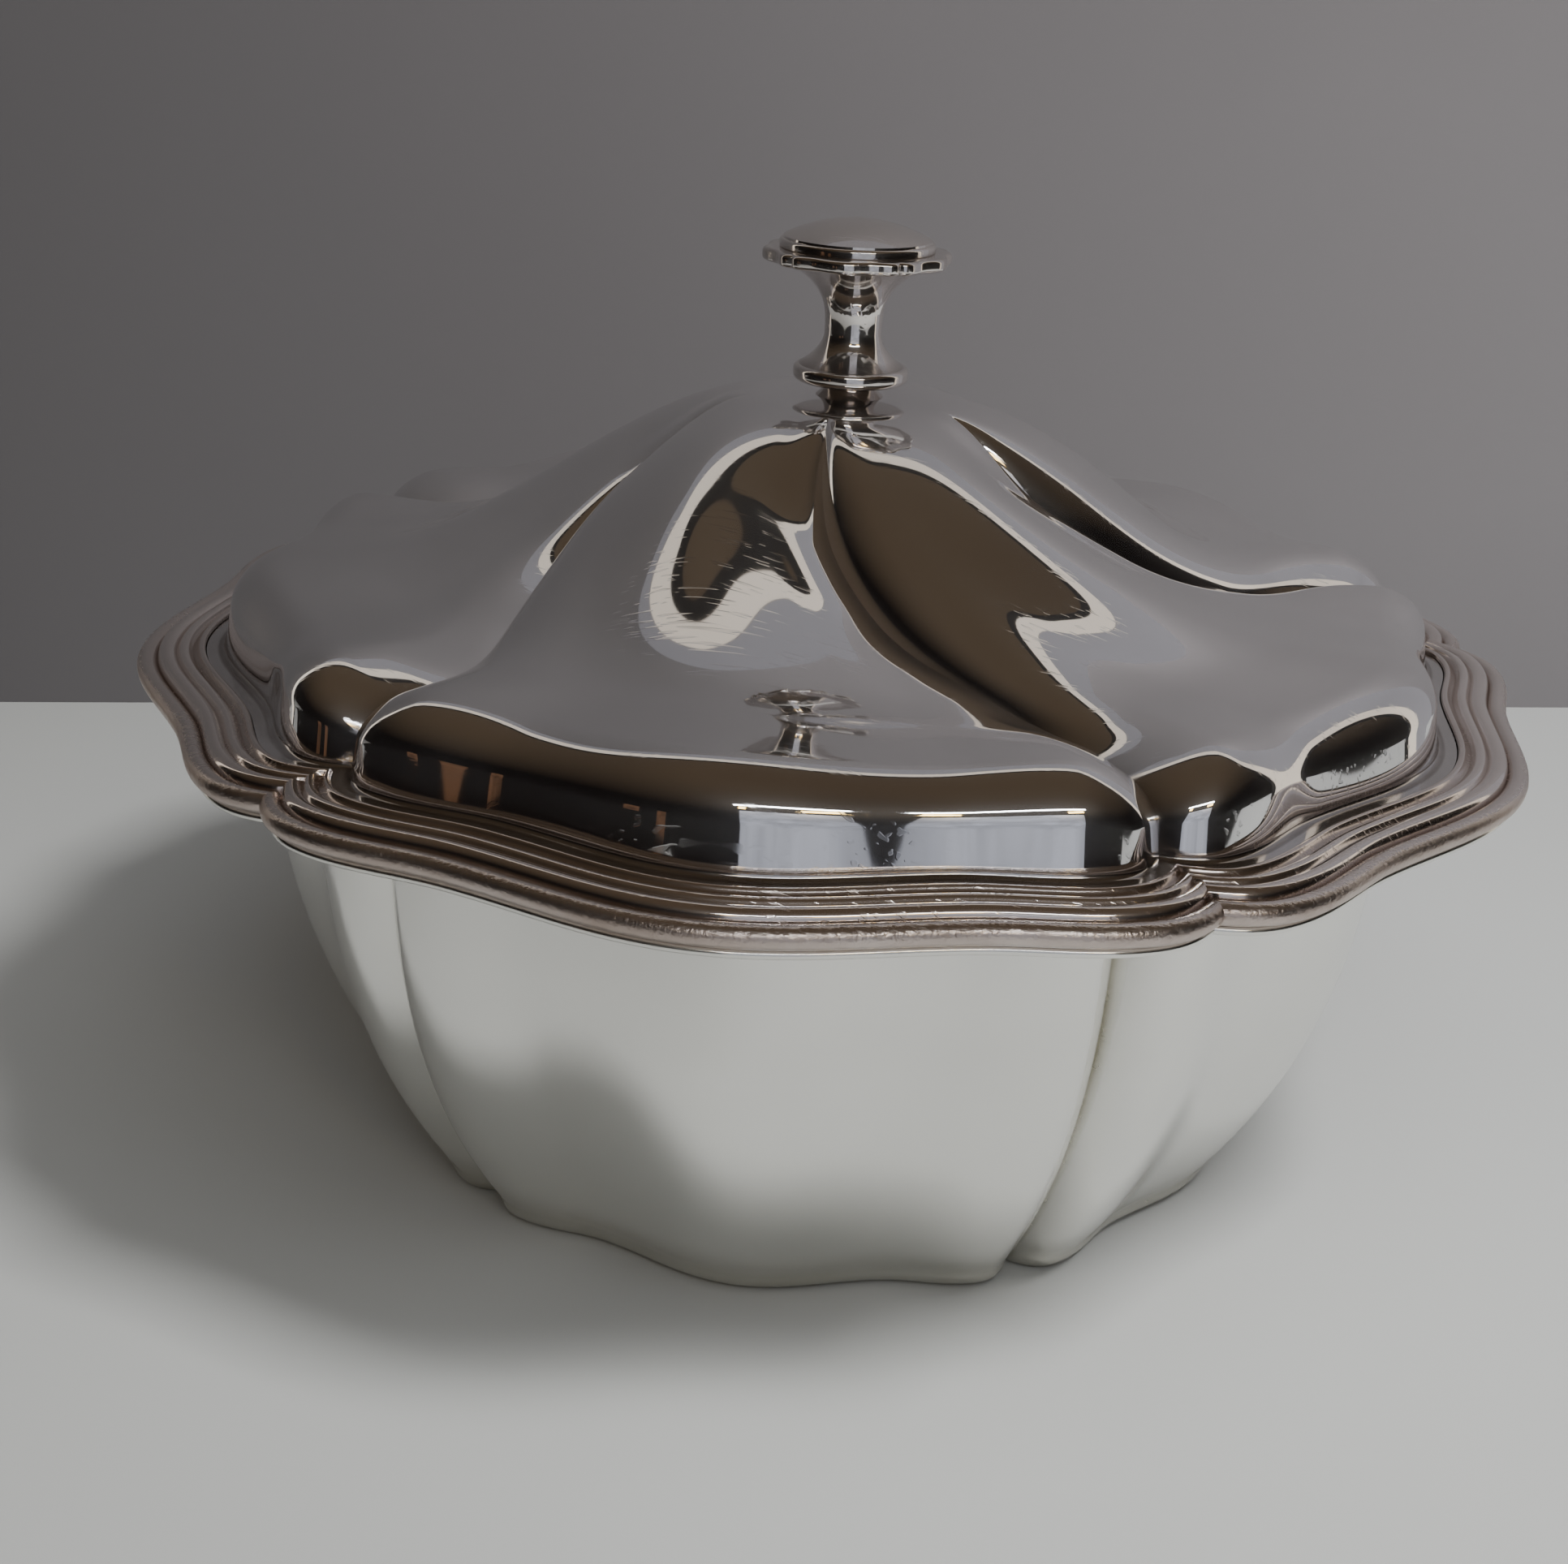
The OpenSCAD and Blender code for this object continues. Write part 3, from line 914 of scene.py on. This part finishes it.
@dataclass
class Finial:
    """The turned finial that lifts the lid."""

    outline: Outline

    def turned(self, name: str, section: Array, cavity: Array,
               sides: int = 160) -> Piece:
        """A turned piece: its section carried round the axis and closed at both ends.

        Args:
            name: name of the piece.
            section: (n, 2) radii and heights in metres, from the bottom up.
            cavity: depth mark of each row.
            sides: number of columns.

        Returns:
            The turned piece.
        """
        turn = columns(sides)[None, :]
        points = ring(section[:, :1], turn, section[:, 1:])
        marks = {"cavity": cavity[:, None]}
        return Patch(name, points, first_pole=True, last_pole=True, marks=marks).build(40.0)

    def closed(self, section: Array) -> Array:
        """A section carried in towards the axis at both ends."""
        return np.vstack([[[PIN, section[0, 1]]], section, [[PIN, section[-1, 1]]]])

    def rounded(self, radius: float, low: float, high: float, corner: float) -> Array:
        """Section of a disc with quarter-round edges.

        Args:
            radius: outside radius in metres.
            low: height of the underside.
            high: height of the top.
            corner: radius of the rounded edges.

        Returns:
            (n, 2) radii and heights, from the middle of the underside to that of the top.
        """
        a = np.linspace(0, np.pi / 2, 7)
        flat = radius - corner
        bottom = np.column_stack([flat + corner * np.sin(a), low + corner - corner * np.cos(a)])
        top = np.column_stack([flat + corner * np.cos(a), high - corner + corner * np.sin(a)])
        return self.closed(np.vstack([bottom, top]))

    def build_foot(self) -> Piece:
        """The short neck, flared where it meets the dome."""
        low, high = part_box("finial_foot")
        k = np.linspace(0, 1, 14)
        radius = high[0] - (high[0] - 2.5 * MM) * (1 - (1 - k) ** 2.2)
        section = self.closed(np.column_stack([radius, low[2] + (high[2] - low[2]) * k]))
        # Painted shade under the disc: the whole neck is marked half dark.
        return self.turned("finial_neck", section, 0.5 + 0 * section[:, 0])

    def build_collar(self) -> Piece:
        """The thin disc under the stem."""
        low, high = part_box("finial_collar")
        section = self.rounded(high[0], low[2], high[2], 0.6 * MM)
        return self.turned("finial_disc", section, 0.1 + 0 * section[:, 0])

    def build_stem(self) -> Piece:
        """The spool: a small foot, a waist and a wide flare under the plate."""
        low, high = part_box("finial_stem")
        k = np.linspace(0, 1, 60)
        waist = 2.85 * MM
        radius = waist + 2.4 * MM * np.clip(1 - k / 0.32, 0, 1) ** 2
        radius = radius + (high[0] - waist) * np.clip((k - 0.35) / 0.65, 0, 1) ** 3
        section = self.closed(np.column_stack([radius, low[2] + (high[2] - low[2]) * k]))
        # Tarnish and painted shade: darker at the spool's foot, against the disc.
        cavity = np.clip(1 - np.r_[0, k, 1] / 0.08, 0, 1) * 0.7
        return self.turned("finial_spool", section, cavity)

    def build_plate(self) -> Piece:
        """The lobed plate: a rounded section whose radius follows the outline."""
        low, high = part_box("finial_plate")
        turn = columns(240)[None, :]
        shape = 1 + 1.6 * (self.outline.lobe(self.outline.part(turn)) - 0.015)
        section = self.rounded(-low[1], low[2], high[2], 0.45 * MM)
        points = ring(section[:, :1] * shape, turn, section[:, 1:])
        marks = {"cavity": np.full((1, 1), 0.15)}
        patch = Patch("finial_lobed_plate", points, first_pole=True, last_pole=True, marks=marks)
        return patch.build(40.0)

    def build_button(self) -> Piece:
        """The button: a low drum whose top is part of a ball."""
        low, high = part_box("finial_button")
        radius, drum, corner = high[0], 0.9 * MM, 0.35 * MM
        rise = high[2] - low[2] - drum
        ball = (radius**2 + rise**2) / (2 * rise)
        edge = math.asin((radius - corner) / ball)
        a = np.linspace(0, np.pi / 2, 6)
        shoulder = low[2] + drum - corner
        side = np.column_stack([radius - corner + corner * np.cos(a), shoulder + corner * np.sin(a)])
        b = np.linspace(edge * 0.995, 0.02, 26)
        cap = np.column_stack([ball * np.sin(b), high[2] - ball + ball * np.cos(b)])
        under = [[PIN, low[2]], [radius - 0.1 * MM, low[2]], [radius, low[2] + 0.1 * MM]]
        section = np.vstack([under, side, cap])
        # Painted shade: darker on the button's underside.
        cavity = np.r_[0.6, 0.6, 0.4, np.zeros(len(section) - 3)]
        return self.turned("finial_top", section, cavity)

    def dress(self, dresser: Dresser) -> None:
        """Builds and dresses the finial, and dresses the fixings that stay from the frame."""
        builds = {
            "finial_foot": self.build_foot,
            "finial_collar": self.build_collar,
            "finial_stem": self.build_stem,
            "finial_plate": self.build_plate,
            "finial_button": self.build_button,
        }
        for node, build in builds.items():
            dresser.dress(build(), Slot.FINIAL, Body.LID, node)
        for node in ("finial_stud", "finial_washer", "finial_nut"):
            dresser.keep(node, Slot.FIXING)


# --- studio ---


@dataclass(frozen=True)
class PaperFinish:
    """A matt card or paper: its colour, a soft mottling and a fine tooth.

    A card may glow, carry painted shade that darkens it towards its left, or be clear from the back.
    """

    name: str
    color: Triple
    mottle: float = 0.06
    glow: float = 0.0
    # Painted shade: share of the colour that the card keeps at its left, where less lamp light falls.
    left: float = 1.0
    cloud_size: float = 6.0
    one_sided: bool = False

    def material(self) -> bpy.types.Material:
        """Builds the node material.

        Returns:
            A material that reads object coordinates.
        """
        made, kit = Nodes.start(self.name)
        place = kit.add("ShaderNodeTexCoord").outputs["Object"]
        cloud = kit.noise(place, self.cloud_size, 3.0, 0.5)
        tooth = kit.noise(place, 900.0, 2.0, 0.5)
        low = tuple((1 - self.mottle) * c for c in self.color)
        tone = kit.mix(low, self.color, kit.ramp(cloud, 0.35, 0.65, 0.0, 1.0))
        # Painted shade: darker towards the left.
        if self.left < 1.0:
            split = kit.add("ShaderNodeSeparateXYZ")
            kit.link(place, split.inputs[0])
            shade = tuple(self.left * c for c in self.color)
            tone = kit.mix(tone, shade, kit.ramp(split.outputs["X"], -0.16, 0.14, 1.0, 0.0))
        shader = kit.add("ShaderNodeBsdfPrincipled")
        shader.inputs["Roughness"].default_value = 0.75
        kit.link(tone, shader.inputs["Base Color"])
        kit.link(kit.bump(tooth, 0.1, 0.0001, None), shader.inputs["Normal"])
        if self.glow:
            kit.link(tone, shader.inputs["Emission Color"])
            shader.inputs["Emission Strength"].default_value = self.glow
        surface = shader.outputs["BSDF"]
        if self.one_sided:
            back = kit.add("ShaderNodeNewGeometry").outputs["Backfacing"]
            surface = kit.blend(back, surface, kit.add("ShaderNodeBsdfTransparent").outputs[0])
        kit.link(surface, kit.add("ShaderNodeOutputMaterial").inputs["Surface"])
        return made


@dataclass(frozen=True)
class ViewPoint:
    """The camera, with its place in mean radii of the edge and its turns in degrees."""

    azimuth: float = 278.3
    away: float = 3.213
    lift: float = 1.064
    yaw: float = 99.5
    pitch: float = 21.62
    roll: float = 2.74
    sensor: float = 36.0
    lens: float = 51.6

    def build(self, radius: float, plane: float) -> None:
        """Makes the scene's camera: in front, a little to the right, looking down at the lid.

        Args:
            radius: mean radius of the edge, in metres.
            plane: height of the edge plane, in metres.
        """
        around, away = math.radians(self.azimuth), self.away * radius
        place = Vector((away * math.cos(around), away * math.sin(around), plane + self.lift * radius))
        yaw, pitch, roll = math.radians(self.yaw), math.radians(self.pitch), math.radians(self.roll)
        level = math.cos(pitch)
        ahead = Vector((math.cos(yaw) * level, math.sin(yaw) * level, -math.sin(pitch)))
        right = ahead.cross(Vector((0, 0, 1))).normalized()
        up = right.cross(ahead)
        cosine, sine = math.cos(roll), math.sin(roll)
        right, up = right * cosine + up * sine, up * cosine - right * sine
        data = bpy.data.cameras.new("view")
        data.sensor_width = self.sensor
        data.lens = self.lens
        data.clip_start = 0.01
        made = bpy.data.objects.new("view", data)
        made.matrix_world = Matrix.Translation(place) @ Matrix((right, up, -ahead)).transposed().to_4x4()
        bpy.context.scene.collection.objects.link(made)
        bpy.context.scene.camera = made


@dataclass
class Studio:
    """Floor, grey booth with a pale edge, window, lamps and camera. None of it belongs to the object."""

    sizes: Measures
    back_angle: float = 107.0
    back_depth: float = 0.1205
    half_width: float = 0.24
    booth_height: float = 0.27
    opening: float = 0.076
    skew: float = 0.20
    edge_width: float = 0.026
    seam_width: float = 0.010
    squareness: float = 0.35
    view: ViewPoint = ViewPoint()

    def card(self, name: str, points: Array, finish: PaperFinish) -> Piece:
        """A sheet of card.

        Args:
            name: name of the card.
            points: its grid of points.
            finish: its paper.

        Returns:
            The card.
        """
        made = Patch(name, points, wrap_columns=False).build()
        made.data.materials.append(finish.material())
        return made

    def build_floor(self) -> None:
        """The pale floor, in front of the booth's back and behind it."""
        # The floor carries painted shade, darker towards its left.
        paper = PaperFinish("floor_paper", (0.48, 0.50, 0.505), left=0.74)
        halves = {
            "floor": (-0.30, 0.36, -0.33, self.back_depth),
            "floor_behind": (-0.9, 0.9, self.back_depth, 1.0),
        }
        for name, (left, right, near, far) in halves.items():
            across = np.linspace(left, right, 13)[None, :]
            depth = np.linspace(near, far, 13)[:, None]
            self.card(name, self.place(across, depth, np.zeros((1, 1))), paper)

    def strip(self, name: str, start: float, end: float, finish: PaperFinish, grow: float = 0.0) -> None:
        """One strip of the booth: a rounded arch over the bowl, between two depths.

        The section is a rounded square, as wide as the booth and open at the floor. It is repeated from
        one depth to the other, and the opening comes further forward on the right than on the left.

        Args:
            name: name of the strip.
            start: depth behind the axis where the strip starts, in metres.
            end: depth where it ends.
            finish: its paper.
            grow: how much further out the strip lies, in metres.
        """
        t = np.linspace(0, np.pi, 121)
        across = (self.half_width + grow) * np.sign(np.cos(t)) * np.abs(np.cos(t)) ** self.squareness
        up = (self.booth_height + grow) * np.abs(np.sin(t)) ** self.squareness
        depths = np.linspace(start, end, 9)[:, None]
        forward = np.clip((self.back_depth - depths) / (self.back_depth - self.opening), 0, 1)
        points = self.place(across[None, :], depths - self.skew * forward * across[None, :], up[None, :])
        self.card(name, points[::-1], finish).visible_shadow = False

    def place(self, across: Array, depth: Array, up: Array) -> Array:
        """Points in the booth's own directions.

        Args:
            across: distances to the right of the axis, in metres.
            depth: distances behind the axis.
            up: heights.

        Returns:
            Points with a last axis of x, y, z.
        """
        a = math.radians(self.back_angle)
        across, depth, up = np.broadcast_arrays(across, depth, up)
        return np.stack([across * math.sin(a) + depth * math.cos(a),
                         -across * math.cos(a) + depth * math.sin(a), up], -1)

    def build_booth(self) -> None:
        """The grey booth: a back, an arch over the bowl and a pale edge with a seam round its opening."""
        # The grey back and arch carry painted shade, darker towards their left.
        grey = PaperFinish("grey_card", (0.118, 0.113, 0.118), 0.15, 0.8, 0.40, one_sided=True)
        arch = PaperFinish("grey_arch", (0.130, 0.128, 0.138), 0.10, 2.0, 0.7, one_sided=True)
        pale = PaperFinish("pale_edge", (0.80, 0.72, 0.62), 0.02, 0.7, one_sided=True)
        black = PaperFinish("black_edge", (0.006, 0.006, 0.008), one_sided=True)
        across = np.linspace(-self.half_width, self.half_width, 41)[None, :]
        up = np.linspace(0, self.booth_height, 31)[:, None]
        back = self.place(across, np.full((1, 1), self.back_depth), up)
        self.card("booth_back", back, grey).visible_shadow = False
        self.strip("booth_arch", self.back_depth, self.opening, arch)
        seam = self.opening - self.edge_width
        self.strip("booth_edge", self.opening, seam, pale, 0.001)
        self.strip("booth_seam", seam, seam - self.seam_width, black, 0.002)

    def pane(self, name: str, azimuth: float, elevation: float, size: tuple, finish: PaperFinish,
             distance: float = 1.15) -> None:
        """A bright card that faces the bowl.

        Args:
            name: name of the card.
            azimuth: direction of its middle in degrees from +X.
            elevation: height of its middle in degrees.
            size: width and height in metres.
            finish: its paper, with a glow.
            distance: how far away it stands, in metres.
        """
        middle = Vector(self.around(azimuth, elevation, distance))
        back = (middle - Vector((0, 0, 0.06))).normalized()
        right = Vector((-back.y, back.x, 0)).normalized()
        up = back.cross(right)
        a = np.linspace(-0.5, 0.5, 9)[None, :, None] * size[0] * np.array(right)
        b = np.linspace(-0.5, 0.5, 9)[:, None, None] * size[1] * np.array(up)
        self.card(name, np.array(middle) + a + b, finish).visible_shadow = False

    def light(self, name: str, place: tuple, size: tuple, power: float, color: tuple) -> None:
        """An area light aimed at the middle of the bowl, left out of mirror reflections.

        Args:
            name: name of the light.
            place: its middle, in metres.
            size: width and height in metres.
            power: watts.
            color: its colour.
        """
        data = bpy.data.lights.new(name, "AREA")
        data.shape = "RECTANGLE"
        data.size, data.size_y = size
        data.energy = power
        data.color = color
        made = bpy.data.objects.new(name, data)
        made.location = place
        aim = Vector((0, 0, 0.05)) - Vector(place)
        made.rotation_mode = "QUATERNION"
        made.rotation_quaternion = aim.to_track_quat("-Z", "Y")
        made.visible_glossy = False
        bpy.context.scene.collection.objects.link(made)

    def around(self, azimuth: float, elevation: float, distance: float) -> Triple:
        """A place round the bowl.

        Args:
            azimuth: direction in degrees from +X.
            elevation: height in degrees.
            distance: distance in metres.

        Returns:
            x, y and z.
        """
        a, e = math.radians(azimuth), math.radians(elevation)
        return (distance * math.cos(a) * math.cos(e), distance * math.sin(a) * math.cos(e),
                0.06 + distance * math.sin(e))

    def build_lights(self) -> None:
        """Bright cards for the metal to mirror, three lights and a dark room."""
        blind = PaperFinish("window_blind", (0.62, 0.65, 0.74), mottle=0.35, glow=0.75)
        bright = PaperFinish("bright_slit", (0.95, 0.97, 1.0), mottle=0.25, glow=18.0, cloud_size=14.0)
        gold = PaperFinish("gold_lamp", (1.0, 0.68, 0.22), mottle=0.3, glow=9.0, cloud_size=14.0)
        amber = PaperFinish("amber_glow", (0.40, 0.20, 0.10), mottle=0.6, glow=0.10, cloud_size=14.0)
        self.pane("window", 288, 4, (0.74, 0.92), blind, 1.25)
        self.pane("slit", 288, 35, (0.70, 0.05), bright)
        self.pane("lamp_left", 272, 29, (0.06, 0.09), gold)
        self.pane("lamp_right", 301, 29, (0.17, 0.08), gold)
        self.pane("shelf_left", 227, -3, (0.10, 0.14), amber)
        self.pane("shelf_right", 238, -4, (0.07, 0.14), amber)
        self.light("key_lamp", self.around(332, 58, 0.5), (0.11, 0.11), 3.5, (1.0, 0.97, 0.93))
        self.light("top_soft", self.around(300, 66, 1.0), (0.9, 0.9), 3.6, (0.93, 0.96, 1.0))
        self.light("low_fill", self.around(225, 25, 0.8), (0.4, 0.3), 0.5, (1.0, 0.82, 0.55))
        world = bpy.data.worlds.new("room")
        world.use_nodes = True
        tree = world.node_tree
        kit = Nodes(tree)
        spot = kit.add("ShaderNodeTexCoord").outputs["Generated"]
        split = kit.add("ShaderNodeSeparateXYZ")
        kit.link(spot, split.inputs[0])
        shade = kit.mix((0.004, 0.003, 0.003), (0.070, 0.050, 0.032),
                        kit.ramp(split.outputs["Z"], 0.30, 0.95, 0.0, 1.0))
        kit.link(shade, tree.nodes["Background"].inputs["Color"])
        bpy.context.scene.world = world

    def build(self) -> None:
        """Builds the whole studio."""
        self.build_floor()
        self.build_booth()
        self.build_lights()
        self.view.build(self.sizes.outline.radius, self.sizes.plane)


def main() -> None:
    """Builds the pieces in order, from the table up, and then the studio."""
    logging.basicConfig(level=logging.INFO, format="%(name)s: %(message)s")
    sizes = Measures.read()
    dresser = Dresser()
    Bowl(sizes).dress(dresser)
    Lid(sizes).dress(dresser)
    Border(sizes).dress(dresser)
    Finial(sizes.outline).dress(dresser)
    Studio(sizes).build()


if __name__ == "__main__":
    main()
